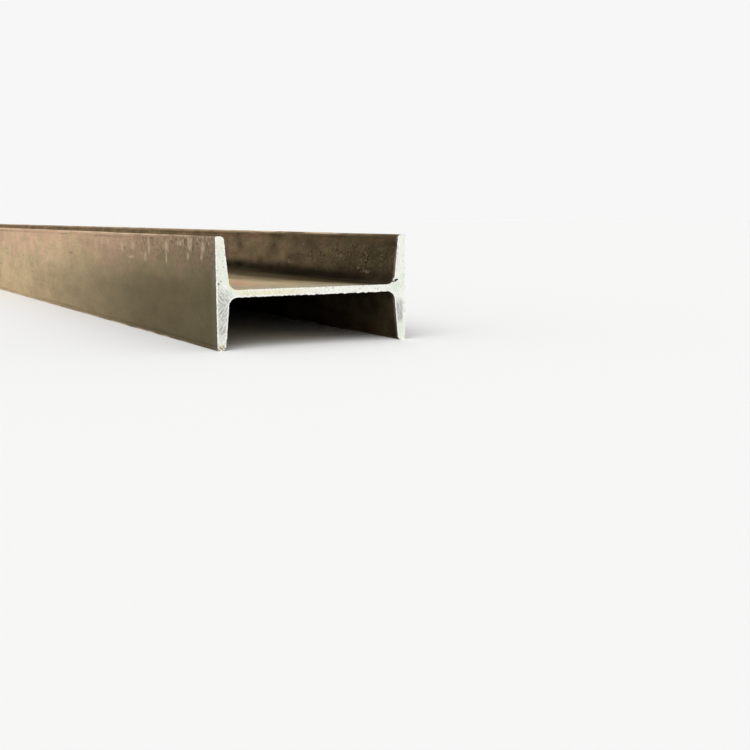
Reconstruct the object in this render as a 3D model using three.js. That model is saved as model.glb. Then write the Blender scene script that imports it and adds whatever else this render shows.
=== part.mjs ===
// A bar of hot-rolled steel I-beam with tapered flanges, sawn square at both ends.
//
// The bar lies as it is stacked: web level, flanges upright, resting on the edges of its flanges.
// X runs across the section from flange to flange, Y along the bar, and Z up the flanges.
// The origin is under the middle of the bar, on the surface that it lies on. Sizes are millimetres.
import * as THREE from 'three';

// Driving dimensions
const SECTION_DEPTH = 180; // over the outer faces of the two flanges
const FLANGE_WIDTH = 94; // from edge to edge of a flange
const WEB_THICKNESS = 6;
const FLANGE_THICKNESS = 9.3; // taken halfway along the overhang, as rolling tables give it
const FLANGE_TAPER = 0.1; // how fast a flange thickens towards the web, on its inner face only
const ROOT_RADIUS = 8; // where a flange's inner face runs into the web
const TOE_RADIUS = 3.7; // at the inner edge of a flange's tip
const OUTER_CORNER_RADIUS = 1.2; // at the outer edge of a flange's tip
const BAR_LENGTH = 3000;

const ARC_FACETS = 12; // on each rounded corner

// Mill scale, the thin grey-brown skin that hot rolling leaves
const MILL_SCALE = new THREE.MeshStandardMaterial({
  name: 'mill_scale',
  color: 0x6f6453,
  roughness: 0.55,
  metalness: 0.6,
});

// The sharp corners of one quarter of the section, from the web out to the flange's outer face.
// The quarter is the one with x and z above zero, and each corner carries its radius.
function quarterCorners() {
  const outerFace = SECTION_DEPTH / 2;
  const tip = FLANGE_WIDTH / 2;
  const webFace = WEB_THICKNESS / 2;
  const halfOverhang = (tip - webFace) / 2;
  const rise = FLANGE_TAPER * halfOverhang;
  return [
    { x: outerFace - FLANGE_THICKNESS - rise, z: webFace, radius: ROOT_RADIUS },
    { x: outerFace - FLANGE_THICKNESS + rise, z: tip, radius: TOE_RADIUS },
    { x: outerFace, z: tip, radius: OUTER_CORNER_RADIUS },
  ];
}

// The whole section's corners in counter-clockwise order: four mirrored copies of the quarter.
// A quarter that is mirrored once is walked backwards, so that the outline keeps its direction.
function sectionCorners() {
  const quarter = quarterCorners();
  const mirror = (signX, signZ) =>
    quarter.map((corner) => ({ ...corner, x: signX * corner.x, z: signZ * corner.z }));
  return [
    ...mirror(1, 1).reverse(),
    ...mirror(-1, 1),
    ...mirror(-1, -1).reverse(),
    ...mirror(1, -1),
  ];
}

// A closed outline through the corners, each one rounded by an arc that is tangent to both sides.
function roundedOutline(corners) {
  const outline = new THREE.Shape();
  corners.forEach((corner, index) => {
    const point = new THREE.Vector2(corner.x, corner.z);
    const before = corners[(index + corners.length - 1) % corners.length];
    const after = corners[(index + 1) % corners.length];
    const back = new THREE.Vector2(before.x, before.z).sub(point).normalize();
    const ahead = new THREE.Vector2(after.x, after.z).sub(point).normalize();
    const halfAngle = Math.acos(back.dot(ahead)) / 2;
    const bisector = back.clone().add(ahead).normalize();
    const centre = point.clone().addScaledVector(bisector, corner.radius / Math.sin(halfAngle));
    const tangentLength = corner.radius / Math.tan(halfAngle);
    const start = point.clone().addScaledVector(back, tangentLength).sub(centre);
    const end = point.clone().addScaledVector(ahead, tangentLength).sub(centre);
    const turnsRight = back.cross(ahead) > 0;
    outline.absarc(centre.x, centre.y, corner.radius, start.angle(), end.angle(), turnsRight);
  });
  outline.closePath();
  return outline;
}

// The bar: the section drawn out along its length in one piece, as it leaves the rolls.
function iBeam() {
  const section = roundedOutline(sectionCorners());
  const geometry = new THREE.ExtrudeGeometry(section, {
    depth: BAR_LENGTH,
    curveSegments: ARC_FACETS / 2, // an arc gets twice as many facets
    bevelEnabled: false,
  });
  const bar = new THREE.Mesh(geometry, MILL_SCALE);
  bar.name = 'i_beam';
  bar.rotation.x = Math.PI / 2; // the section's z stands up, and the extrusion runs along -Y
  bar.position.set(0, BAR_LENGTH / 2, FLANGE_WIDTH / 2);
  return bar;
}

const beam = new THREE.Group();
beam.add(iBeam());

export default beam;
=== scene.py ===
# %% [markdown]
# # A bar of rolled steel I-beam
#
# The construction model gives the bar its true section and length. This script gives it the finish of
# real stock: grey-brown mill scale on the rolled faces, and bright saw-cut ends with a ragged burr.
# Everything is in metres, and a small size is written as so many times MM. X runs across the section,
# Y along the bar, and Z up its flanges.

# %% Load the bar
import functools
import math

import bmesh
import bpy
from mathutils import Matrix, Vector, kdtree


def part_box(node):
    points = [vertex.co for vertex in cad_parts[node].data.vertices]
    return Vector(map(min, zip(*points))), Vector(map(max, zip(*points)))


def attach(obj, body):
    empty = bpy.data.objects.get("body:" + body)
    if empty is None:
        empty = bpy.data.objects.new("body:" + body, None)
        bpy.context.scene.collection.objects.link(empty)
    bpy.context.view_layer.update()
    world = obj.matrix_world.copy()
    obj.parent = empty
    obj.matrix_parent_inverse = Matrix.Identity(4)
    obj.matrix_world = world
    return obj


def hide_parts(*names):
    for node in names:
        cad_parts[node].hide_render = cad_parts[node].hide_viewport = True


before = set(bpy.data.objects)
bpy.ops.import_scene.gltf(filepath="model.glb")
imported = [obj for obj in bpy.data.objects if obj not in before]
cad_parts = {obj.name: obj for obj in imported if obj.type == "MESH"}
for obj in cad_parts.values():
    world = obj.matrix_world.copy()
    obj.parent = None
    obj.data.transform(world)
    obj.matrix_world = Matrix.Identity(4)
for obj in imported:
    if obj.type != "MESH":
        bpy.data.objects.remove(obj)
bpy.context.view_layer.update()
MM = 0.001
BAR_LOW, BAR_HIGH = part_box("i_beam")
NEAR_END, FAR_END = BAR_LOW.y, BAR_HIGH.y
print("bar from", tuple(BAR_LOW), "to", tuple(BAR_HIGH))

# %% [markdown]
# ## The camera
#
# The camera stands low in front of the near end and to its left, just above the flanges, so that the
# end section, the left flange's outer face and the trough above the web all show. It is placed with given
# numbers, because a helper that frames the object would show the whole three metres and lose the close
# look along the bar.

# %% Place the camera
CAMERA_PLACE = Vector((-0.4187, NEAR_END - 0.8462, 0.1104))
LEVEL = 90  # degrees: a camera that isn't turned looks straight down
CAMERA_PITCH = -8.25
CAMERA_ROLL = 0.14
CAMERA_HEADING = 29.45  # to the right of the bar's own direction
SENSOR_WIDTH = 36  # millimetres, as the lens is
CAMERA_LENS = 52.7
NEAREST_SEEN = 10 * MM

lens_data = bpy.data.cameras.new("camera")
lens_data.sensor_width = SENSOR_WIDTH
lens_data.lens = CAMERA_LENS
lens_data.clip_start = NEAREST_SEEN
camera = bpy.data.objects.new("camera", lens_data)
bpy.context.scene.collection.objects.link(camera)
camera.location = CAMERA_PLACE
camera.rotation_euler = (
    math.radians(LEVEL + CAMERA_PITCH),
    math.radians(CAMERA_ROLL),
    math.radians(-CAMERA_HEADING),
)
bpy.context.scene.camera = camera
print("camera at", tuple(camera.location))

# %% [markdown]
# ## The bar, as one clean mesh
#
# A rolled bar is one piece of steel, so it is one mesh. The loaded model has the right section, but as
# long loose triangles with nothing between the two ends, and nothing to dent or roughen. It could be
# subdivided as it is, but triangles three metres long never give even faces. So a copy is taken, its
# double points are merged, and the flat triangles are dissolved into plain strips and two end faces.


# %% Copy and clean the bar
SAME_POINT = 0.001 * MM  # points closer than this are one point
FLAT_ANGLE = math.radians(0.5)  # faces that turn by less than this are one flat face


def select_only(piece):
    """Make a piece the only selected object, and the active one."""
    bpy.ops.object.select_all(action="DESELECT")
    piece.select_set(True)
    bpy.context.view_layer.objects.active = piece


bar = bpy.data.objects.new("steel_bar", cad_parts["i_beam"].data.copy())
bpy.context.scene.collection.objects.link(bar)
select_only(bar)
bpy.ops.object.mode_set(mode="EDIT")
bpy.ops.mesh.select_all(action="SELECT")
bpy.ops.mesh.remove_doubles(threshold=SAME_POINT)
bpy.ops.mesh.dissolve_limited(angle_limit=FLAT_ANGLE)
print("clean bar:", len(bmesh.from_edit_mesh(bar.data).faces), "faces")

# %% [markdown]
# ## The saw cuts
#
# A circular saw leaves three things on an end: a bright face with arc-shaped marks, a thin lip all
# round it where the metal was pushed out, and a ragged burr where the teeth broke through underneath.
# All of them could be painted on, but then the edge of the section would look too smooth close up. So
# an inset makes the lip's band, with a finish of its own, and a fine grid on the last two millimetres
# then gives the relief of the later steps enough points to work with.

# %% Name the finishes and inset the lip
FINISHES = ["mill_scale", "sawn_steel", "burred_lip"]
LIP_WIDTH = 1.2 * MM


def is_cut(face):
    """Whether a face looks along the bar, as only the sawn ends do."""
    return abs(face.normal.y) > 0.9


def select_faces(piece, wanted):
    """In edit mode, select the faces for which wanted(face) is true."""
    bpy.ops.mesh.select_mode(type="FACE")
    bpy.ops.mesh.select_all(action="DESELECT")
    mesh = bmesh.from_edit_mesh(piece.data)
    for face in mesh.faces:
        face.select = wanted(face)
    bmesh.update_edit_mesh(piece.data)


def assign_finish(piece, finish):
    """In edit mode, give the selected faces one of the finishes."""
    piece.active_material_index = FINISHES.index(finish)
    bpy.ops.object.material_slot_assign()


bar.data.materials.clear()
for finish in FINISHES:
    bar.data.materials.append(bpy.data.materials.new(finish))
bpy.ops.mesh.select_all(action="SELECT")
assign_finish(bar, "mill_scale")
select_faces(bar, is_cut)
assign_finish(bar, "burred_lip")
bpy.ops.mesh.inset(thickness=LIP_WIDTH, use_even_offset=True, use_individual=True)
assign_finish(bar, "sawn_steel")
print("finishes:", FINISHES)

# %% Cut rings round the ends
ACROSS, ALONG, UP = Vector((1, 0, 0)), Vector((0, 1, 0)), Vector((0, 0, 1))
LIP_DEPTH = 0.4 * MM  # how far the lip's bright metal wraps back along the bar
GRID_REACH = 1.6 * MM  # how far the fine grid will run back from an end
END_ZONE = 3 * MM  # the saw's relief stays inside this distance from an end, and the ripple outside it
STATIONS = (LIP_DEPTH, 0.9 * MM, GRID_REACH, END_ZONE, 6 * MM, 12 * MM)  # wider apart further in


def cut(distance, direction):
    """Bisect everything that shows with a plane, at a distance along a direction."""
    bpy.ops.mesh.select_all(action="SELECT")
    bpy.ops.mesh.bisect(plane_co=distance * direction, plane_no=direction)


def from_end(place):
    """How far a place is from the nearer end of the bar."""
    return FAR_END - abs(place.y)


def depth(face):
    """How far a face's middle is from the nearer end of the bar."""
    return from_end(face.calc_center_median())


for distance in STATIONS:
    cut(NEAR_END + distance, ALONG)
    cut(FAR_END - distance, ALONG)
select_faces(bar, lambda face: 0 < depth(face) < LIP_DEPTH)
assign_finish(bar, "burred_lip")
print("with rings:", len(bmesh.from_edit_mesh(bar.data).faces), "faces")

# %% Grid the ends
GRID_PITCH = 0.55 * MM

select_faces(bar, lambda face: depth(face) < GRID_REACH)
bpy.ops.mesh.hide(unselected=True)
for low, high, direction in ((BAR_LOW.x, BAR_HIGH.x, ACROSS), (BAR_LOW.z, BAR_HIGH.z, UP)):
    for step in range(1, round((high - low) / GRID_PITCH)):
        cut(low + step * GRID_PITCH, direction)
bpy.ops.mesh.reveal()
print("with gridded ends:", len(bmesh.from_edit_mesh(bar.data).faces), "faces")

# %% [markdown]
# ## Points along the bar
#
# Hot rolling never leaves a truly flat face: light wanders a little along it. That waviness needs points
# every few centimetres, along the bar and across its faces. A loop cut would be quick by hand, but it
# needs a window, so planes cut the faces lengthwise, and the long edges are picked and subdivided. One
# subdivision makes no more than a hundred cuts, so a second one halves what the first one leaves.

# %% Cut strips and subdivide them
STRIP_WIDTH = 12.5 * MM
STRIPS_EACH_SIDE = 5  # of the bar's axis, all of them on the web
STRIP_HEIGHTS = (9, 18, 27, 36, 58, 67, 76, 85)  # millimetres, all on the flanges
LONG_CUTS = 99
WHOLE_LENGTH = 1  # metres: an edge longer than this runs nearly the whole bar
HALVED_LENGTH = 20 * MM  # an edge longer than this is one of the pieces to halve


def select_long_edges(piece, shortest):
    """In edit mode, select the edges that run further than a length along the bar."""
    bpy.ops.mesh.select_mode(type="EDGE")
    bpy.ops.mesh.select_all(action="DESELECT")
    mesh = bmesh.from_edit_mesh(piece.data)
    for edge in mesh.edges:
        edge.select = abs(edge.verts[1].co.y - edge.verts[0].co.y) > shortest
    bmesh.update_edit_mesh(piece.data)


select_faces(bar, lambda face: depth(face) > GRID_REACH)
bpy.ops.mesh.hide(unselected=True)
for step in range(-STRIPS_EACH_SIDE, STRIPS_EACH_SIDE + 1):
    cut(step * STRIP_WIDTH, ACROSS)
for height in STRIP_HEIGHTS:
    cut(height * MM, UP)
for shortest, cuts in ((WHOLE_LENGTH, LONG_CUTS), (HALVED_LENGTH, 1)):
    select_long_edges(bar, shortest)
    bpy.ops.mesh.subdivide(number_cuts=cuts)
bpy.ops.mesh.reveal()
bpy.ops.object.mode_set(mode="OBJECT")
print("whole bar:", len(bar.data.polygons), "faces,", len(bar.data.vertices), "points")

# %% [markdown]
# ## Rolled faces that aren't quite flat
#
# The rolls leave each face a few tenths of a millimetre out of true, which no eye sees as a dent but
# every reflection does. It could be sculpted. A Displace modifier with a soft cloud texture does the
# same evenly along three metres, and a vertex group holds it off the sawn ends and the resting edges.

# %% Weigh the points of the rolled faces
REST = 1 * MM  # no face bulges lower than this, because the flanges rest there
CLEAR_OF_REST = 6 * MM  # from this height up the ripple isn't held back, nor the burr
RIPPLE_WHOLE = 60 * MM  # how far from an end the ripple has its whole height


def ramp(value, start, end):
    """Rise evenly from 0 at start to 1 at end."""
    return max(0.0, min(1.0, (value - start) / (end - start)))


def weigh(piece, name, weight_of):
    """Make a vertex group that gives each point the weight weight_of(point)."""
    group = piece.vertex_groups.new(name=name)
    weights = {point.index: weight_of(point) for point in piece.data.vertices}
    weighed = [index for index, weight in weights.items() if weight > 0]
    for index in weighed:
        group.add([index], weights[index], "REPLACE")
    print("group", name, "has", len(weighed), "points")


def ripple_weight(point):
    """None at the sawn ends or where the flanges rest, and all of it well away from them."""
    return ramp(from_end(point.co), END_ZONE, RIPPLE_WHOLE) * ramp(point.co.z, REST, CLEAR_OF_REST)


weigh(bar, "rolled", ripple_weight)

# %% Ripple the rolled faces
RIPPLE_SIZE = 90 * MM
RIPPLE_HEIGHT = 0.5 * MM


def push(piece, group, texture, height, direction="NORMAL", middle=0.5, centre=None):
    """Displace a group of points by a texture, and apply the result to the mesh."""
    select_only(piece)
    bpy.ops.object.modifier_add(type="DISPLACE")
    modifier = piece.modifiers[-1]
    modifier.texture = texture
    modifier.vertex_group = group
    modifier.strength = height
    modifier.mid_level = middle
    modifier.direction = direction
    if centre:
        modifier.texture_coords = "OBJECT"
        modifier.texture_coords_object = centre
    bpy.ops.object.modifier_apply(modifier=modifier.name)


def clouds(name, size, contrast=1.0, layers=1):
    """A cloud texture with lumps about as large as size, and with finer ones in each further layer."""
    texture = bpy.data.textures.new(name, "CLOUDS")
    texture.noise_scale = size
    texture.noise_depth = layers
    texture.contrast = contrast
    return texture


push(bar, "rolled", clouds("ripple", RIPPLE_SIZE), RIPPLE_HEIGHT)
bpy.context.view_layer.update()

# %% [markdown]
# ## Saw marks
#
# The teeth of a big circular blade leave arcs, one shallow step after another, all curved round the
# blade's centre. Modelling each arc would take hundreds of cuts. A wood texture's rings are just such
# arcs when they are centred where the blade was, far down and to the left of the section. An Empty
# holds that centre at each end, and is then deleted. The marks stop short of the lip, so each point's
# distance from the edge of its cut is found first.

# %% Find how far each point is from the edge of a cut
ON_A_CUT = 0.01 * MM  # a point this close to an end is on the cut itself

edge_points = {
    index
    for face in bar.data.polygons
    if not is_cut(face)
    for index in face.vertices
    if from_end(bar.data.vertices[index].co) < ON_A_CUT
}
edge_finder = kdtree.KDTree(len(edge_points))
for index in edge_points:
    edge_finder.insert(bar.data.vertices[index].co, index)
edge_finder.balance()
near_edge = {  # for each point near an end: the edge's nearest place, its number and how far it is
    point.index: edge_finder.find(point.co)
    for point in bar.data.vertices
    if from_end(point.co) < END_ZONE
}
print(len(edge_points), "points on the edges of the cuts")

# %% Cut the marks
BLADE_X, BLADE_Z = -276, -111  # millimetres: the blade's centre, from the bar's axis and the floor
MARK_PITCH = 2.3 * MM
MARK_DEPTH = 0.12 * MM
MARK_MARGIN = 0.5 * MM  # how far the marks stop short of the edge
RINGS_PER_UNIT = 20 / (2 * math.pi)  # how many rings the wood texture has in each unit of its space
UNEVEN_SIZE = 0.6  # how wide the rings' unevenness is, in that space
UNEVEN_AMOUNT = 2


def mark_weight(point, end):
    """All of it on the cut, and none on its lip."""
    if abs(point.co.y - end) > ON_A_CUT:
        return 0
    return ramp(near_edge[point.index][2], MARK_MARGIN, LIP_WIDTH)


rings = bpy.data.textures.new("rings", "WOOD")
rings.wood_type = "RINGNOISE"
rings.noise_basis_2 = "SAW"
rings.noise_scale = UNEVEN_SIZE
rings.turbulence = UNEVEN_AMOUNT
for name, end in (("near_cut", NEAR_END), ("far_cut", FAR_END)):
    weigh(bar, name, functools.partial(mark_weight, end=end))
    bpy.ops.object.empty_add(location=(BLADE_X * MM, end, BLADE_Z * MM))
    blade = bpy.context.object
    blade.scale = [RINGS_PER_UNIT * MARK_PITCH] * 3
    push(bar, name, rings, MARK_DEPTH, direction="Y", centre=blade)
    bpy.data.objects.remove(blade)
print("marks every", MARK_PITCH / MM, "mm")

# %% [markdown]
# ## The lip and the burr
#
# The lip is a line of small bright beads. Under the web and down the flanges, where the teeth came out
# of the steel, it grows into ragged lumps that hang about half a millimetre down. A sculpting brush
# could raise them one by one. Cloud textures are quicker and even: one is pushed outwards all round the
# cut, and one is pushed down along its lower edges only.

# %% Raise the lip
BEAD_SIZE = 1.6 * MM
BEAD_CONTRAST = 2
LIP_HEIGHT = 0.45 * MM
LIP_LEVEL = 0.4  # where the texture is darker than this the lip sinks, and elsewhere it rises
LIP_REACH = 1.1 * MM
LIP_CLEAR_OF_REST = 4 * MM  # from this height up the lip isn't held back


def lip_weight(point):
    """All of it on the edge of the cut, none a millimetre away or where the flanges rest."""
    if point.index not in near_edge:
        return 0
    distance = near_edge[point.index][2]
    return ramp(distance, LIP_REACH, 0) * ramp(point.co.z, REST, LIP_CLEAR_OF_REST)


weigh(bar, "lip", lip_weight)
push(bar, "lip", clouds("beads", BEAD_SIZE, BEAD_CONTRAST), LIP_HEIGHT, middle=LIP_LEVEL)
print("lip of beads", BEAD_SIZE / MM, "mm wide")

# %% Hang the burr
LUMP_SIZE = 3.4 * MM
LUMP_CONTRAST = 2
LUMP_LAYERS = 2
BURR_HEIGHT = 0.9 * MM
BURR_LEVEL = 0.35
BURR_REACH = 1.7 * MM
WEB_LOW = 44 * MM
BELOW_WEB = (WEB_LOW + 1 * MM, WEB_LOW)  # each pair is where a share begins and where it is whole
DOWN_FLANGE = (WEB_LOW, WEB_LOW - 5 * MM)
INSIDE_FLANGE = (88 * MM, 84 * MM)
ROOT_ACROSS = (68 * MM, 73 * MM)
ROOT_UP = (30 * MM, 36 * MM)
SPARED_BY_FLANGE = 0.6
SPARED_BY_ROOT = 0.9


def burr_weight(point):
    """All of it on the web's lower edge, less down the flanges, least in the roots, none above."""
    if point.index not in near_edge:
        return 0
    edge, _, distance = near_edge[point.index]
    side = abs(edge.x)
    below = ramp(edge.z, *BELOW_WEB) * ramp(edge.z, REST, CLEAR_OF_REST)
    off_flange = 1 - SPARED_BY_FLANGE * ramp(edge.z, *DOWN_FLANGE)
    off_root = 1 - ramp(side, *ROOT_ACROSS) * ramp(edge.z, *ROOT_UP) * SPARED_BY_ROOT
    return ramp(distance, BURR_REACH, 0) * below * ramp(side, *INSIDE_FLANGE) * off_flange * off_root


weigh(bar, "burr", burr_weight)
lumps = clouds("lumps", LUMP_SIZE, LUMP_CONTRAST, LUMP_LAYERS)
push(bar, "burr", lumps, -BURR_HEIGHT, direction="Z", middle=BURR_LEVEL)
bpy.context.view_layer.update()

# %% [markdown]
# ## The torn lug
#
# In one root the last of the steel tore instead of being cut, and left a lug that curls out of the
# corner. It could be a small piece of its own, but it is the bar's own metal. So one point is grabbed
# and pulled, and proportional editing lets its neighbours follow by less.

# %% Pull out the lug in the root
LUG_PLACE = Vector((78.2 * MM, NEAR_END, 53.6 * MM))
LUG_PULL = Vector((-0.9 * MM, -0.5 * MM, 1.3 * MM))
LUG_REACH = 1.5 * MM


def pull(piece, place, move, reach):
    """Grab the point nearest a place and move it, with its neighbours following by less."""
    select_only(piece)
    bpy.ops.object.mode_set(mode="EDIT")
    bpy.ops.mesh.select_mode(type="VERT")
    bpy.ops.mesh.select_all(action="DESELECT")
    mesh = bmesh.from_edit_mesh(piece.data)
    nearest = min(mesh.verts, key=lambda vert: (vert.co - place).length)
    nearest.select = True
    mesh.select_flush_mode()
    bmesh.update_edit_mesh(piece.data)
    bpy.ops.transform.translate(
        value=move,
        use_proportional_edit=True,
        proportional_edit_falloff="SMOOTH",
        proportional_size=reach,
    )
    bpy.ops.object.mode_set(mode="OBJECT")


pull(bar, LUG_PLACE, LUG_PULL, LUG_REACH)
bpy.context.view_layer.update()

# %% [markdown]
# ## Smooth and sharp
#
# The toes, roots and ripple are curved, so their faces are shaded smooth, but the edge of each cut has
# to stay sharp. That edge could be marked by hand. An angle tells it apart as well: the bar's curves
# turn only a little at each of their edges, and the edge of a cut turns much more.

# %% Shade the bar
SMOOTH_ANGLE = math.radians(38)

select_only(bar)
bpy.ops.object.shade_smooth_by_angle(angle=SMOOTH_ANGLE)
print("edges kept sharp:", sum(edge.use_edge_sharp for edge in bar.data.edges))

# %% [markdown]
# ## Writing a finish as sums
#
# Each finish below is a small calculation: how far a point is from an edge, how strong a stain is there,
# how rough that leaves it. Wiring dozens of Math nodes by hand hides such a sum. So a node's output is
# wrapped in a Wire, and Python's own plus, minus and times add the Math nodes behind it.


# %% Wires and nodes
class Wire:
    """One output of a node. A sum or product of wires adds the Math node that works it out."""

    def __init__(self, output):
        self.output = output

    def __add__(self, other):
        return calculate("ADD", self, other)

    def __sub__(self, other):
        return calculate("SUBTRACT", self, other)

    def __rsub__(self, other):
        return calculate("SUBTRACT", other, self)

    def __mul__(self, other):
        return calculate("MULTIPLY", self, other)

    def __pow__(self, other):
        return calculate("POWER", self, other)

    def __abs__(self):
        return calculate("ABSOLUTE", self)

    __radd__ = __add__
    __rmul__ = __mul__


def add_node(tree, kind, settings, inputs, output=0):
    """Add a node. Its settings come first, because some of them change which sockets it has."""
    node = tree.nodes.new(kind)
    for name, value in settings.items():
        setattr(node, name, value)
    for socket, value in inputs.items():
        if isinstance(value, Wire):
            tree.links.new(value.output, node.inputs[socket])
        else:
            node.inputs[socket].default_value = value
    return Wire(node.outputs[output])


def calculate(operation, *values):
    """Add the Math node that works out a result from wires and numbers."""
    tree = next(value for value in values if isinstance(value, Wire)).output.id_data
    return add_node(tree, "ShaderNodeMath", {"operation": operation}, dict(enumerate(values)))


for finish in FINISHES:
    material = bpy.data.materials[finish]
    material.use_nodes = True
    print(finish, "starts with", [node.name for node in material.node_tree.nodes])

# %% [markdown]
# ## Mill scale
#
# Mill scale is the thin oxide skin that hot steel grows as it leaves the rolls. It is a dull grey-brown,
# mottled and streaked along the bar, and painted lighter toward tan further from the near end, as painted
# reflection. It flakes near the flange edges, pits where it came off, wears bright on the corners, where a
# painted highlight is laid in too, and the roots are painted dark as shade. An image of scale would have to
# be repeated every few centimetres along three metres. So each of these is a mask instead, made from the
# point's place on the section and times some noise, and it never repeats.
#
# A pair of numbers named below is where a mask is 0 and where it is 1, in millimetres. In the fade of a
# noise the two numbers are levels of that noise, between 0 and 1. The numbers that masks are multiplied
# by are their strengths. All of these were tried and set.

# %% Open the mill scale
BRONZE_EDGE = (1.0, 0.86, 0.68, 1.0)  # the tint of what the scale reflects at a low angle


def another(wire, name):
    """Another output of the node that a wire comes from."""
    return Wire(wire.output.node.outputs[name])


def times(vector, number):
    """Multiply each part of a place or a colour by one number."""
    inputs = {"Vector": vector, "Scale": number}
    return add_node(vector.output.id_data, "ShaderNodeVectorMath", {"operation": "SCALE"}, inputs)


def start_finish(name, constants):
    """Set a finish's constants, and give the place in millimetres with its x, y and z."""
    tree = bpy.data.materials[name].node_tree
    for socket, value in constants.items():
        tree.nodes["Principled BSDF"].inputs[socket].default_value = value
    metres = add_node(tree, "ShaderNodeTexCoord", {}, {}, output="Object")
    place = times(metres, 1 / MM)
    x = add_node(tree, "ShaderNodeSeparateXYZ", {}, {0: place})
    print("opened", name)
    return place, x, another(x, "Y"), another(x, "Z")


scale_constants = {"Specular IOR Level": 0.0, "Specular Tint": BRONZE_EDGE}
place, x, y, z = start_finish("mill_scale", scale_constants)

# %% [markdown]
# ### Faces and roots
#
# Each face of the section is coloured in its own way, and the roots are painted darkest, as painted shade
# where the flanges and the web hide them from the light. The faces could have materials of their own, but
# then each border would be a hard line.
# Masks made from the place on the section run softly into each other.

# %% Tell the faces apart
HALF_LENGTH = round(FAR_END / MM)  # millimetres, as all lengths in the finishes are
MIDDLE = round(BAR_HIGH.z / MM) / 2  # the height of the web's middle
WEB_SIDE = (77, 70)  # out from the axis
INNER_SIDE = (86.2, 84.4)  # the same, just inside the outer faces


def fade(wire, start, end):
    """Ease from 0 where the wire is at start to 1 where it is at end."""
    inputs = {"Value": wire, "From Min": start, "From Max": end}
    return add_node(wire.output.id_data, "ShaderNodeMapRange", {"interpolation_type": "SMOOTHSTEP"}, inputs)


def tell(step, wire):
    """Print how many nodes a wire's finish has once a step is made."""
    print(f"{step}: {len(wire.output.id_data.nodes)} nodes so far")


side = abs(x)  # how far out from the bar's axis
from_toe = MIDDLE - abs(z - MIDDLE)  # how far from the flange's nearer edge
from_cut = HALF_LENGTH - abs(y)
from_near = HALF_LENGTH + y
on_web = fade(side, *WEB_SIDE)
inside = fade(side, *INNER_SIDE) * (1 - on_web)  # the sides of the flanges that look at the web
outside = (1 - inside) * (1 - on_web)
tell("faces", place)

# %% Paint shade into the roots
ROOT_X, ROOT_Z = 79, 3  # the sharp corner behind a root, from the bar's axis and the web's middle
ROOT_REACH, ROOT_CORE = 15, 4  # where the painted shade begins and where it is whole, from that corner
ROOT_SIDE = (87, 85)  # out from the axis, so that the outer faces stay clear
NARROW_LENGTH = (200, 150)  # from the near end
NARROWING = 3.5  # how much less far the dark reaches there
PALE_LENGTH, PALEST_LENGTH = (160, 60), (60, 20)  # from the near end: the roots grow paler in two steps

# The roots are painted dark as shade, where the flanges and the web hide them from the light; this mask
# holds that painted shade.
root_distance = ((side - ROOT_X) ** 2 + (abs(z - MIDDLE) - ROOT_Z) ** 2) ** 0.5
root_reach = ROOT_REACH - NARROWING * fade(from_near, *NARROW_LENGTH)
root = fade(root_distance, root_reach, ROOT_CORE) * fade(side, *ROOT_SIDE)
root = root * (0.85 - 0.2 * fade(from_near, *PALE_LENGTH) - 0.2 * fade(from_near, *PALEST_LENGTH))
tell("roots", place)

# %% Paint shade along the crease beside the roots
CREASE_SHADE = (8, 2)  # from the same corner
CREASE_SHADE_WIDTH = 14  # how much wider the painted shade is on the web's right side
BESIDE_ROOT = (78.5, 75)  # out from the axis
RIGHT_WEB = (0, 40)  # across
CREASE_SHADE_LENGTH = (330, 230)  # from the near end

beside_root = fade(side, *BESIDE_ROOT) * fade(x, *RIGHT_WEB)
# The crease is painted shade: a dark line along the right-hand root, where the right flange shades the web.
crease_shade = fade(root_distance - CREASE_SHADE_WIDTH * beside_root, *CREASE_SHADE)
crease_shade = crease_shade * (0.1 + (0.05 + 0.32 * beside_root) * fade(from_near, *CREASE_SHADE_LENGTH))
tell("creases", place)

# %% [markdown]
# ### Unevenness
#
# Nothing on rolled steel is one even tone. Each noise below is one kind of unevenness, from patches as
# long as a forearm down to the lines that the rolls drew along the bar. One rich noise could serve for
# everything, but then every stain would have the same outline.


# %% Make the noises
def spread(place, size, along=1.0, up=1.0, shift=0.0):
    """Scale a place to units of size millimetres, longer along the bar and up it as asked.

    A shift of its own keeps one noise from following another.
    """
    inputs = {
        "Vector": place,
        "Location": (shift, shift, shift),
        "Scale": (1 / size, 1 / (size * along), 1 / (size * up)),
    }
    return add_node(place.output.id_data, "ShaderNodeMapping", {}, inputs)


def noise(place, size, detail=2.0, **stretch):
    """Soft lumps about size millimetres across, from 0 to 1 and mostly near a half."""
    inputs = {"Vector": spread(place, size, **stretch), "Scale": 1.0, "Detail": detail}
    return add_node(place.output.id_data, "ShaderNodeTexNoise", {}, inputs)


def uneven(wire, amount):
    """Turn a noise into an unevenness that goes up and down by about half the amount."""
    return amount * (wire - 0.5)


patches = noise(place, 300, detail=3, shift=9)
blotches = noise(place, 45, detail=3, along=2.5)
bands = noise(place, 26, detail=3, up=3, shift=31)
casts = noise(place, 16, detail=3, along=1.6, shift=17)
smears = noise(place, 12, detail=4, along=3, shift=61)
mottle = noise(place, 10, detail=3, along=1.6)
speckle = noise(place, 3.2, detail=3, along=1.4, up=1.1, shift=5)
crumbs = noise(place, 2.6, detail=2, along=1.3, shift=23)
grain = noise(place, 2.2, detail=2)
roll_lines = noise(place, 1.6, detail=1, along=250)
tell("noises", place)

# %% [markdown]
# ### Painted sheen and shade
#
# The scale is painted lighter, toward tan, further from the near end, as a painted reflection of the
# brighter light that its faces mirror further from the camera. The lower half is painted darker as shade,
# and the inner faces darker than the outer ones, also as painted shade. Beside a cut the saw's heat and
# water left the scale grey. It could be painted over by hand, which is slow along three metres. Here the
# distance from the near end and the height are added up into one measure of how much sheen is painted on.

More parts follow.
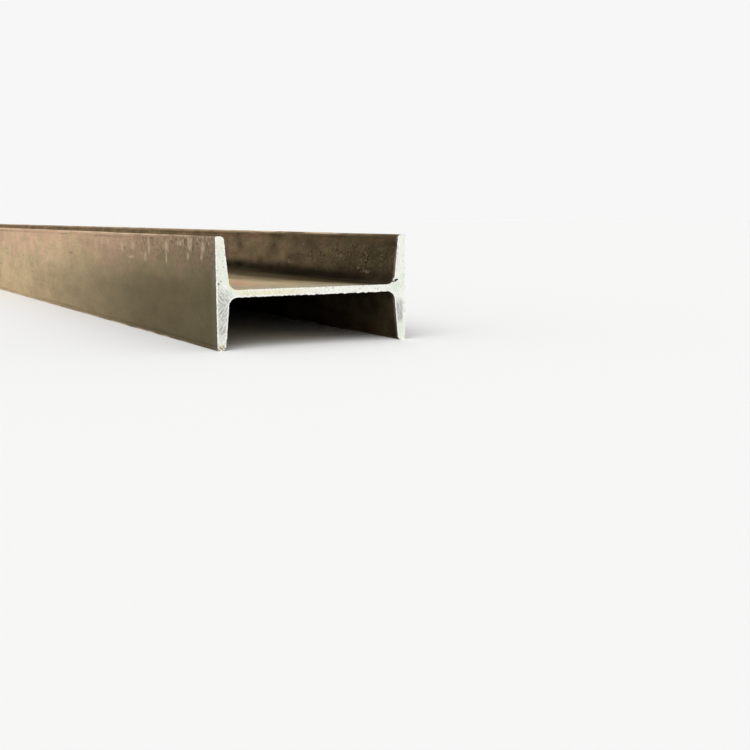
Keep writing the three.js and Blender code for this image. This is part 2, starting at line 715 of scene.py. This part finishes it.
# %% Paint the sheen along the bar and the shade low down
TAN_LENGTH = (-60, 700)  # from the near end, at the usual height
USUAL_HEIGHT = 67
UP_FOR_ALONG = 6.5  # a millimetre higher brightens the scale as much as this many further back
LEAST_HEIGHT = 38  # nothing below this height is any darker
PATCHY_LENGTH = (900, 1500)  # from the near end: the far half has darker patches
LOW_SHADE_HEIGHT, LOW_SHADE_LENGTH = (61, 49), (330, 150)  # painted shade low on the outer faces: how high, and from the near end

# This mask is painted reflection: it lightens the scale toward tan further from the near end, and less
# lower down, which leaves the lower half darker as painted shade.
counted_height = calculate("MAXIMUM", z, LEAST_HEIGHT)
painted_sheen = fade(from_near + UP_FOR_ALONG * (counted_height - USUAL_HEIGHT), *TAN_LENGTH)
darker = fade(patches + uneven(casts, 0.3), 0.4, 0.68)
painted_sheen = painted_sheen * (1 - 0.5 * darker * fade(from_near, *PATCHY_LENGTH))
# Painted shade on the low outer faces near the near end.
low_shade = fade(z, *LOW_SHADE_HEIGHT) * fade(from_near, *LOW_SHADE_LENGTH) * outside
tell("painted_sheen_and_shade", place)

# %% Find the scale beside the cuts and under the edges
RIM_DEPTH, SAWN_DEPTH = (5, 2), (14, 5)  # back from a cut, on the inner and the outer faces
UNDER_EDGE, UNDER_EDGE_LENGTH = (14, 8), (350, 200)  # from a toe, and from the near end

rim = fade(from_cut, *RIM_DEPTH) * inside
sawn_tint = fade(from_cut, *SAWN_DEPTH) * outside + rim
under_edge = fade(from_toe, *UNDER_EDGE) * inside * fade(from_near, *UNDER_EDGE_LENGTH)
tell("rims", place)

# %% [markdown]
# ### Marks that have places of their own
#
# Water ran over the left flange's upper edge and left pale streaks and dark marks, and the right
# flange's inner face is pitted in groups. A noise would put such marks anywhere. So they are ovals at
# chosen places, and noises only bend their outlines and break them up.

# %% Streak and mark the left flange's outer face
# Each oval is a place: how far from the near end, how high, half its length and half its height.
PALE_MARKS = [
    (29, 84, 4, 5), (33, 76, 3, 4), (61, 86, 5, 6), (66, 77, 3, 3), (86, 87, 7, 2),
    (122, 83, 5, 5), (123, 73, 2.5, 6), (173, 82, 3.5, 9), (184, 73, 4, 4), (224, 82, 7, 4),
    (231, 71, 9, 1.6), (260, 81, 5, 5), (311, 84, 5, 3), (334, 83, 5, 4),
]
DARK_MARKS = [
    (18, 85, 2, 5), (42, 88, 4, 2), (52, 85, 2, 6), (70, 88, 4, 2.5),
    (108, 88, 6, 1.6), (159, 85, 2, 3), (194, 79, 3, 4), (252, 80, 2, 3),
]
OVAL_EDGE = (1.3, 0.5)  # how far out, as the square of the oval's own size
LEFT_HALF = (10, -10)  # across


def strongest(masks):
    """At each point, the highest of several masks."""
    return functools.reduce(lambda first, second: calculate("MAXIMUM", first, second), masks)


def ovals(across, up, places, ragged):
    """1 inside any of some ovals with ragged edges: their middle, half width and half height."""
    return strongest(
        fade(((across - u) * (1 / wide)) ** 2 + ((up - v) * (1 / tall)) ** 2 + ragged, *OVAL_EDGE)
        for u, v, wide, tall in places
    )


left_outside = outside * fade(x, *LEFT_HALF)
drips = noise(place, 1.7, detail=2, up=5, shift=71)
streaky = uneven(drips, 7) + uneven(speckle, 4) + uneven(mottle, 2)
pale_marks = ovals(from_near, z, PALE_MARKS, streaky)
pale_marks = pale_marks * (0.6 + 0.4 * fade(drips, 0.4, 0.56)) * left_outside
dark_marks = ovals(from_near, z, DARK_MARKS, uneven(speckle, 3.2) + uneven(mottle, 2.5)) * left_outside
tell("marks", place)

# %% Roughen the outer faces under their upper edges
TOP_HEIGHT, TOP_LENGTH = (60, 80), (380, 160)  # how high, and from the near end
FRINGE_HEIGHT, FRINGE_LENGTH = (84, 90), (240, 60)
TOP_WANDER = 12  # how far the mottle moves both heights up and down

near_top = fade(z + uneven(mottle, TOP_WANDER), *TOP_HEIGHT) * fade(from_near, *TOP_LENGTH) * outside
fringe = fade(z + uneven(mottle, TOP_WANDER), *FRINGE_HEIGHT) * fade(from_near, *FRINGE_LENGTH) * outside
tell("upper edges", place)

# %% Pit the right flange's inner face
PITTED = [  # how far from the near end, how high, half the length and half the height
    (26, 74, 4, 4), (60, 72, 15, 6), (57, 61, 22, 3), (84, 83, 3, 2), (97, 68, 5, 2), (116, 73, 26, 5),
    (145, 73, 5, 4), (165, 67, 4, 4), (174, 74, 5, 6), (189, 81, 5, 4), (202, 71, 5, 4), (222, 64, 3, 3),
]
RIGHT_HALF = (-10, 10)  # across
PEPPER_LENGTH, PEPPER_BOTTOM, PEPPER_TOP = (260, 110), (56, 62), (88, 82)

peppered = 0.3 * fade(from_near, *PEPPER_LENGTH) * fade(z, *PEPPER_BOTTOM) * fade(z, *PEPPER_TOP)
pitted = strongest([peppered, ovals(from_near, z, PITTED, uneven(mottle, 4))])
pitted = pitted * inside * fade(x, *RIGHT_HALF)
tell("pitted places", place)

# %% Gather the flakes and the pits
flakes = pale_marks * (0.65 + 0.35 * fade(speckle, 0.4, 0.6))
flakes = flakes + 0.4 * fringe * fade(speckle, 0.54, 0.62)
flakes = flakes + 0.26 * pitted * fade(crumbs, 0.54, 0.64)
pits = 0.3 * dark_marks + 0.15 * near_top * fade(speckle, 0.41, 0.35)
pits = pits + 0.8 * pitted * fade(crumbs, 0.47, 0.39)
tell("flakes and pits", place)

# %% [markdown]
# ### Worn and highlit edges
#
# Chains, forks and other bars rub the flanges' edges bright, with a dark line just inside, and a red
# band follows it on the inner faces. The bright line is partly that wear and partly a painted highlight
# along the rounded corner. It could be picked out by how sharply the mesh turns, but here the distance
# from the flange's edge is known, and it also places the lines beside the wear.

# %% Wear the edges and paint their highlight
HIGHLIT_TOE, HIGHLIT_LENGTH = (1.8, 0.7), (20, 140)  # from a toe, and back from a cut
SCUFF_LENGTH = (300, 500)  # from the near end
SEAM_OUT, SEAM_IN = (2.4, 3.4), (5.2, 4.2)  # from a toe: a dark line just inside the bright one
RED_OUT, RED_IN = (2.5, 4.5), (10, 6)  # from a toe: a red band on the inner faces
RED_LENGTH = (15, 60)

# The bright edge is partly wear and partly a painted highlight along the rounded corner.
worn_and_highlit = fade(from_toe, *HIGHLIT_TOE) * fade(noise(place, 8, along=5, shift=2), 0.35, 0.6)
worn_and_highlit = worn_and_highlit * fade(from_cut, *HIGHLIT_LENGTH)
scuffs = fade(noise(place, 6, along=7, shift=21), 0.66, 0.74) * fade(from_near, *SCUFF_LENGTH)
seam = fade(from_toe, *SEAM_OUT) * fade(from_toe, *SEAM_IN) * fade(noise(place, 14, along=4), 0.3, 0.6)
red_band = fade(from_toe, *RED_OUT) * fade(from_toe, *RED_IN) * inside * fade(from_near, *RED_LENGTH)
red_band = red_band * fade(noise(place, 22, along=3, shift=41), 0.36, 0.56)
tell("worn edges", place)

# %% [markdown]
# ### The web
#
# The web lies flat and gathers what falls on it. It is dusty on the left and rusty in one patch, and a
# painted shadow of the right flange darkens its right side nearly to black, least of all at the near end.
# The shadow could be one more noise, but it has a side. So a line is drawn along the web, noises move it to
# and fro, and the painted shadow is what lies to the right of it.

# %% Paint the right flange's shadow over the web
SHADOW_LINE = 4  # how far right of the axis the middle of the painted shadow's edge lies
SHADOW_EDGE = (-30, 30)  # to both sides of that line
NEAR_SHIFT, NEAR_LENGTH = 52, (170, -20)  # how much further right it lies at the near end
FAR_SHIFT, FAR_LENGTH = 26, (350, 700)  # and further back along the bar
FAR_WANDER, STREAK_WANDER, SMEAR_WANDER = 120, 60, 30  # how far the noises move it

streaks = noise(place, 40, detail=4, along=5, shift=51)
beyond = fade(from_near, *FAR_LENGTH)
web_shadow_line = SHADOW_LINE + NEAR_SHIFT * fade(from_near, *NEAR_LENGTH)
web_shadow_line = web_shadow_line + beyond * (FAR_SHIFT + uneven(patches, FAR_WANDER))
into_web_shadow = x - web_shadow_line + uneven(streaks, STREAK_WANDER) + uneven(smears, SMEAR_WANDER)
# This mask is a painted shadow: it darkens the web's right side nearly to black, where the right flange
# shades it, least at the near end and weaker further back.
web_shadow = fade(into_web_shadow, *SHADOW_EDGE) * on_web * (1 - 0.4 * beyond)
tell("web_shadow", place)

# %% Rust one patch of the web
RUST_PATCHES = [(-41, 66, 13, 26), (-30, 104, 12, 26)]  # across, from the near end, and half sizes
UPPER_FACE = (46, 48)  # how high

rusty = ovals(x, from_near, RUST_PATCHES, uneven(speckle, 3) + uneven(mottle, 5))
rusty = rusty * (0.6 + 0.4 * fade(speckle, 0.35, 0.6)) * on_web * fade(z, *UPPER_FACE)
tell("rust", place)

# %% [markdown]
# ### Tone and colour
#
# The masks now choose between plain colours, one after another, as a painter would lay them: first the
# scale of each face, then the web's dust and the painted shadow on it, then the tone that darkens or
# lightens all of it, with the painted shade of the roots, the crease and the low faces, and last the
# flakes, pits, wear with its painted highlight, and rust that lie on top. One long colour ramp would be
# quicker to set up, but it could follow only one of the masks.

# %% Shade the scale
tone = uneven(blotches, 0.5) + uneven(mottle, 0.6) + uneven(grain, 0.35)
tone = tone + uneven(bands, 0.1 + 0.6 * inside) + uneven(roll_lines, 0.1)
tone = tone + uneven(smears, 0.6 * outside + 1.9 * inside)
tone = tone + uneven(speckle, 0.4 * outside + 0.6 * inside + 0.9 * near_top)
# The roots, the crease beside them and the low outer faces near the near end are darkened here as painted
# shade.
shade = (1 + tone) * (1 - root) * (1 - crease_shade) * (1 - 0.2 * low_shade) * (1 - 0.1 * near_top)
shade = shade * (1 - 0.3 * scuffs) * (1 - 0.35 * seam) * (1 - 0.13 * under_edge) * (1 + 0.7 * rim)
tell("shade", place)


# %% Colour the flanges
def display(red, green, blue):
    """The light that a screen colour from 0 to 255 stands for, by the curve that screens use."""
    return tuple(((part / 255 + 0.055) / 1.055) ** 2.4 for part in (red, green, blue)) + (1.0,)


def blend(amount, first, second):
    """A colour that goes from first to second as the amount goes from 0 to 1."""
    inputs = {0: amount, 6: first, 7: second}  # the sockets of the Mix node that carry colours
    return add_node(amount.output.id_data, "ShaderNodeMix", {"data_type": "RGBA"}, inputs, output=2)


# The tan stands for the painted sheen along the bar. The inner faces are painted darker than the outer ones
# as shade, and paler further from the near end.
SCALE_DARK = display(98, 89, 74)
SCALE_TAN_SHEEN = display(195, 169, 145)
INSIDE_SHADED = display(75, 66, 50)
INSIDE_PALER = display(131, 113, 92)
INSIDE_RED = display(102, 76, 57)
END_GREY = display(110, 107, 104)
INSIDE_PALER_LENGTH = (-20, 440)  # from the near end

colour = blend(painted_sheen, SCALE_DARK, SCALE_TAN_SHEEN)
colour = blend(inside, colour, blend(fade(from_near, *INSIDE_PALER_LENGTH), INSIDE_SHADED, INSIDE_PALER))
colour = blend(0.6 * red_band, colour, INSIDE_RED)
colour = blend(0.55 * sawn_tint, colour, END_GREY)
tell("flanges coloured", place)

# %% Colour the web
WEB_DUST = display(196, 175, 147)
WEB_OLIVE = display(170, 156, 122)
WEB_GREY = display(168, 163, 144)
WEB_SHADOW = display(42, 36, 26)
OLIVE_EDGE = (-40, -10)  # the dust turns olive just before the painted shadow
GREY_LENGTH = (75, 25)  # from the near end

dust = blend(fade(into_web_shadow, *OLIVE_EDGE), WEB_DUST, WEB_OLIVE)
dust = blend(0.7 * fade(from_near, *GREY_LENGTH), dust, WEB_GREY)
# The web's right side is darkened here by the painted shadow of the right flange.
dust = blend(0.96 * web_shadow, dust, WEB_SHADOW)
colour = times(blend(0.94 * on_web, colour, dust), shade)
tell("web coloured", place)

# %% Cast the scale olive and rose
OLIVE_CAST = (0.96, 1.02, 0.89, 1)
ROSE_CAST = (1.05, 0.98, 0.96, 1)
CAST_HEIGHT = 72  # above this an outer face is more rose than olive
CAST_SLOPE = 0.007  # for each millimetre


def tint(colour, filter_colour):
    """Multiply a colour by another colour, as a filter does."""
    inputs = {0: colour, 1: filter_colour}
    return add_node(colour.output.id_data, "ShaderNodeVectorMath", {"operation": "MULTIPLY"}, inputs)


cast = fade(casts + CAST_SLOPE * outside * (z - CAST_HEIGHT), 0.38, 0.62)
cast = 0.5 + (cast - 0.5) * (1 - 0.5 * on_web)
colour = tint(colour, blend(cast, OLIVE_CAST, ROSE_CAST))
tell("casts", place)

# %% Lay the flakes, pits, wear with its painted highlight, and rust on top
FLAKE = display(200, 182, 158)
PIT = display(40, 33, 24)
WORN_EDGE_HIGHLIGHT = display(214, 192, 166)
RUST = display(198, 140, 116)
WEAR_AND_HIGHLIGHT_LENGTH = (600, 300)  # from the near end

colour = blend(0.9 * flakes, colour, FLAKE)
colour = blend(0.8 * pits, colour, PIT)
# The corners' bright colour is partly wear and partly a painted highlight.
colour = blend((0.5 + 0.35 * fade(from_near, *WEAR_AND_HIGHLIGHT_LENGTH)) * worn_and_highlit, colour, WORN_EDGE_HIGHLIGHT)
colour = blend(0.6 * rusty, colour, RUST)
tell("all colours", place)


# %% Join the mill scale
def finish_with(name, colour, roughness, metallic, relief):
    """Join a finish's results to its shader. The relief is in millimetres."""
    tree = bpy.data.materials[name].node_tree
    inputs = {"Height": relief, "Strength": 1.0, "Distance": MM}
    bump = add_node(tree, "ShaderNodeBump", {}, inputs)
    results = {"Base Color": colour, "Roughness": roughness, "Metallic": metallic, "Normal": bump}
    for socket, wire in results.items():
        tree.links.new(wire.output, tree.nodes["Principled BSDF"].inputs[socket])
    print(name, "is joined, with", len(tree.nodes), "nodes")


roughness = 0.38 + uneven(mottle, 0.25) + 0.15 * flakes + 0.35 * root - 0.06 * worn_and_highlit
metallic = 0.6 - 0.15 * inside - 0.6 * root - 0.25 * on_web + 0.1 * worn_and_highlit
relief = 0.10 * mottle + 0.05 * grain + 0.03 * roll_lines + 0.07 * flakes - 0.25 * pits
finish_with("mill_scale", colour, roughness, metallic, relief)

# %% [markdown]
# ## Sawn steel
#
# A fresh cut is bare steel: almost white, faintly green or cream where it has begun to tarnish, and
# greyer low down where the teeth rubbed. A blurred mirror alone would look blank in a white room, so
# the marks also get a tone of their own, as the grooves of a real cut hold shadow and dirt. They are
# noises drawn out round the blade's centre, so that they follow the arcs that were cut above.

# %% Follow the blade across the cut
BLADE_RADIUS = 250  # millimetres: it turns an angle round the blade into a length of arc
MEETING = 38  # the height at which the left flange's two cuts met: the strokes are mirrored below it
FLANGE_SIDE = (66, 76)  # out from the axis
LEFT_FLANGE = (-60, -74)  # across

place, x, y, z = start_finish("sawn_steel", {"Specular IOR Level": 0.5})
side = abs(x)
on_flange = fade(side, *FLANGE_SIDE)
on_left = fade(x, *LEFT_FLANGE)


def saw_sweep(x, z):
    """A place as the blade met it, in millimetres: out from the blade's centre, and round it."""
    across, up = x - BLADE_X, z - BLADE_Z
    out = (across**2 + up**2) ** 0.5
    round_blade = BLADE_RADIUS * calculate("ARCTAN2", up, across)
    return add_node(x.output.id_data, "ShaderNodeCombineXYZ", {}, {0: out, 1: round_blade})


second_cut = 2 * on_left * calculate("MAXIMUM", MEETING - z, 0)
sweep = saw_sweep(x, z + second_cut)
strokes = fade(noise(sweep, 1.0, detail=2, along=6), 0.55, 0.44)
scratches = noise(sweep, 0.5, detail=2, along=24, shift=9)
tell("saw strokes", place)

# %% Find the rubbed places
LOW_LEFT = (58, 42)  # how high
LOW_LEFT_SLOPE = 0.9  # how much higher that is for each millimetre further out
LOW_LEFT_SIDE = 84  # how far out it is as written
LOW_LEFT_BOTTOM = (4, 20)
RIGHT_FLANGE, RIGHT_EDGE = (70, 78), (88.5, 86)  # across
LOW_RIGHT_HEIGHT, LOW_RIGHT_REACH = 26, (13, 6)  # its middle, and how far up and down from there

low_left = on_left * fade(z - LOW_LEFT_SLOPE * (side - LOW_LEFT_SIDE), *LOW_LEFT)
low_left = low_left * fade(z, *LOW_LEFT_BOTTOM)
low_right = fade(x, *RIGHT_FLANGE) * fade(x, *RIGHT_EDGE)
low_right = low_right * fade(abs(z - LOW_RIGHT_HEIGHT), *LOW_RIGHT_REACH)
tell("rubbed places", place)

# %% Find the dirty and torn places
# Each oval is a place: across from the axis, how high, half its width and half its height.
NICKS = [(-88, 55.5, 1.1, 1.1), (-85.8, 57.5, 0.7, 0.7), (-83.6, 69, 0.45, 0.45), (-84, 74, 0.45, 0.45)]
GOUGE = [(79.9, 53.4, 1.5, 1.4), (81.5, 54, 1.1, 0.8), (77.6, 52.3, 0.9, 0.7)]  # where the lug was torn
GRAIN_TEARS = 1.2  # how far the grain bends the ovals
NEAR_HALF = (10, -10)  # along the bar
TARNISHED_TOE, DIRTY_TOE = (8, 2), (6, 2)  # how high


def scatter(place, size):
    """Scattered points about size millimetres apart: the distance from the nearest, and its own number."""
    tree = place.output.id_data
    distance = add_node(tree, "ShaderNodeTexVoronoi", {}, {"Vector": spread(place, size), "Scale": 1.0})
    return distance, add_node(tree, "ShaderNodeSeparateColor", {}, {"Color": another(distance, "Color")})


def dirty_toe(place, x, z):
    """Bits of dirt on the toe of the left flange, where it stood on the ground."""
    bits = fade(noise(place, 1.5, detail=2, shift=13), 0.48, 0.56)
    return bits * fade(x, *LEFT_FLANGE) * fade(z, *DIRTY_TOE)


mottle = noise(place, 9, detail=3)
grain = noise(place, 0.9, detail=2)
speck_distance, speck_number = scatter(place, 2.2)
specks = fade(speck_distance, 0.3, 0.14) * fade(speck_number, 0.66, 0.68)
on_near_end = fade(y, *NEAR_HALF)
nicks = ovals(x, z, NICKS, uneven(grain, GRAIN_TEARS)) * on_near_end
gouge = ovals(x, z, GOUGE, uneven(grain, GRAIN_TEARS)) * on_near_end
tarnished_toe = on_left * fade(z + uneven(mottle, 3), *TARNISHED_TOE)
dirt = dirty_toe(place, x, z)
tell("dirty and torn places", place)

# %% Colour the bare steel
STEEL_WHITE = display(255, 254, 246)
STEEL_GREEN = display(233, 243, 229)
STEEL_CREAM = display(246, 242, 214)
STEEL_GREY = display(214, 214, 210)
TARNISH = display(226, 214, 176)
CREAM_WEB = (10, -25)  # across: the web is cream on the left
CREAM_TOP = (74, 88)  # how high
GREEN_HEIGHT, GREEN_REACH = 69, (15, 9)  # its middle, and how far up and down from there

colour = blend(fade(mottle, 0.35, 0.65) * (0.4 + 0.6 * on_flange), STEEL_WHITE, STEEL_GREEN)
colour = blend(0.9 * (1 - on_flange) * fade(x, *CREAM_WEB), colour, STEEL_CREAM)
colour = blend(0.5 * on_left * fade(z, *CREAM_TOP), colour, STEEL_CREAM)
colour = blend(0.5 * on_left * fade(abs(z - GREEN_HEIGHT), *GREEN_REACH), colour, STEEL_GREEN)
colour = blend(0.6 * low_left + 0.95 * low_right, colour, STEEL_GREY)
colour = blend(0.7 * tarnished_toe, colour, TARNISH)
tell("bare steel coloured", place)

# %% Mark and join the sawn steel
RED_SPECK = display(176, 146, 124)
DIRT = display(92, 78, 52)
HOLE = display(24, 20, 15)

stroke_depth = 0.05 + 0.33 * low_left + 0.25 * low_right + 0.05 * (1 - on_flange)
shade = 1 - stroke_depth * strokes + uneven(mottle, 0.12) + uneven(scratches, 0.3)
colour = times(colour, shade)
colour = blend(0.9 * specks * (1 - on_flange), colour, RED_SPECK)
colour = blend(strongest([0.4 * specks * on_flange, 0.7 * nicks, 0.8 * dirt]), colour, DIRT)
colour = blend(gouge, colour, HOLE)
roughness = 0.34 + uneven(mottle, 0.2) + 0.1 * strokes
metallic = 1 - 0.8 * strongest([nicks, dirt, gouge])
relief = 0.02 * grain - 0.04 * strokes - 0.1 * strongest([nicks, dirt]) - 0.3 * gouge
finish_with("sawn_steel", colour, roughness, metallic, relief)

# %% [markdown]
# ## The bright lip
#
# The lip is the same bare steel, but pushed out and torn instead of cut, so it glitters in small beads.
# It could share the sawn finish. With one of its own it shows as a bright line round the cut, without
# the blade's strokes, and the dirt and the gouge still run on across it.

# %% Mix the burred lip
LIP_BRIGHT = display(255, 254, 246)
LIP_CREAM = display(246, 242, 206)
LEFT_ROOT_SIDE, LEFT_ROOT_EDGE = (-58, -68), (-87, -83)  # across
LEFT_ROOT_BOTTOM, LEFT_ROOT_TOP = (47, 50), (72, 58)  # how high

place, x, y, z = start_finish("burred_lip", {})
beads = noise(place, 1.8, detail=2)
left_root = fade(x, *LEFT_ROOT_SIDE) * fade(x, *LEFT_ROOT_EDGE)
left_root = left_root * fade(z, *LEFT_ROOT_BOTTOM) * fade(z, *LEFT_ROOT_TOP)
dirt = dirty_toe(place, x, z)
gouge = ovals(x, z, GOUGE, 0) * fade(y, *NEAR_HALF)
colour = blend(fade(beads, 0.3, 0.5), STEEL_GREY, LIP_BRIGHT)
colour = blend(left_root, colour, LIP_CREAM)
colour = blend(0.8 * dirt, colour, DIRT)
colour = blend(gouge, colour, HOLE)
roughness = 0.4 - 0.2 * beads
metallic = 1 - 0.8 * strongest([dirt, gouge])
finish_with("burred_lip", colour, roughness, metallic, 0.06 * beads)

# %% [markdown]
# ## Floor and light
#
# The bar lies on a plain pale floor in soft light. A curved studio backdrop would have to be very large
# for a bar of three metres, so the floor is flat, and the room behind it is a plain pale world. The
# floor keeps the bar's shadow. The room is nearly white to the camera and in reflections, and a little
# dimmer as a light, so that the lamp can shape the bar.

# %% Lay the floor
FLOOR_WIDTH = 60
FLOOR_COLOUR = (0.93, 0.93, 0.925, 1)
FLOOR_ROUGHNESS = 0.9
FLOOR_GLOSS = 0.1

bpy.ops.mesh.primitive_plane_add(size=FLOOR_WIDTH, location=(0, 0, 0))
floor = bpy.context.object
floor.name = "floor"
floor_paint = bpy.data.materials.new("floor_paint")
floor_paint.use_nodes = True
paint = floor_paint.node_tree.nodes["Principled BSDF"].inputs
paint["Base Color"].default_value = FLOOR_COLOUR
paint["Roughness"].default_value = FLOOR_ROUGHNESS
paint["Specular IOR Level"].default_value = FLOOR_GLOSS
floor.data.materials.append(floor_paint)
print("floor", FLOOR_WIDTH, "m wide")

# %% Light the room
WHITE = (1, 1, 1, 1)
ROOM_LIGHT = 0.70  # the room's strength as a light
ROOM_TONE = 0.93  # and as it is seen

world = bpy.data.worlds.new("studio")
bpy.context.scene.world = world
world.use_nodes = True
tree = world.node_tree
lighting = tree.nodes["Background"]
lighting.inputs["Color"].default_value = WHITE
lighting.inputs["Strength"].default_value = ROOM_LIGHT
seen = add_node(tree, "ShaderNodeBackground", {}, {"Color": WHITE, "Strength": ROOM_TONE})
direct = add_node(tree, "ShaderNodeLightPath", {}, {}, output="Is Camera Ray")
is_seen = direct + another(direct, "Is Glossy Ray") + another(direct, "Is Transmission Ray")
inputs = {0: is_seen, 1: Wire(lighting.outputs[0]), 2: seen}
room = add_node(tree, "ShaderNodeMixShader", {}, inputs)
tree.links.new(room.output, tree.nodes["World Output"].inputs["Surface"])
print("the room has", len(tree.nodes), "nodes")

# %% Hang the lamp
LAMP_STRENGTH = 1.2
LAMP_SOFTNESS = math.radians(50)
LAMP_DIRECTION = Vector((0.55, 0.6, -1))  # from the left and the front, down onto the bar

lamp_data = bpy.data.lights.new("key", "SUN")
lamp_data.energy = LAMP_STRENGTH
lamp_data.angle = LAMP_SOFTNESS
lamp = bpy.data.objects.new("key", lamp_data)
bpy.context.scene.collection.objects.link(lamp)
lamp.rotation_euler = LAMP_DIRECTION.to_track_quat("-Z", "Y").to_euler()
bpy.context.scene.view_settings.view_transform = "Standard"  # shows colours as they are written
print("lamp turned to", tuple(lamp.rotation_euler))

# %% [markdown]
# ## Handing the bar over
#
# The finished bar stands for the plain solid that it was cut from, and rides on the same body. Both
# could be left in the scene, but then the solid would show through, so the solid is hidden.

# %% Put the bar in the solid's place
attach(bar, "root")
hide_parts("i_beam")
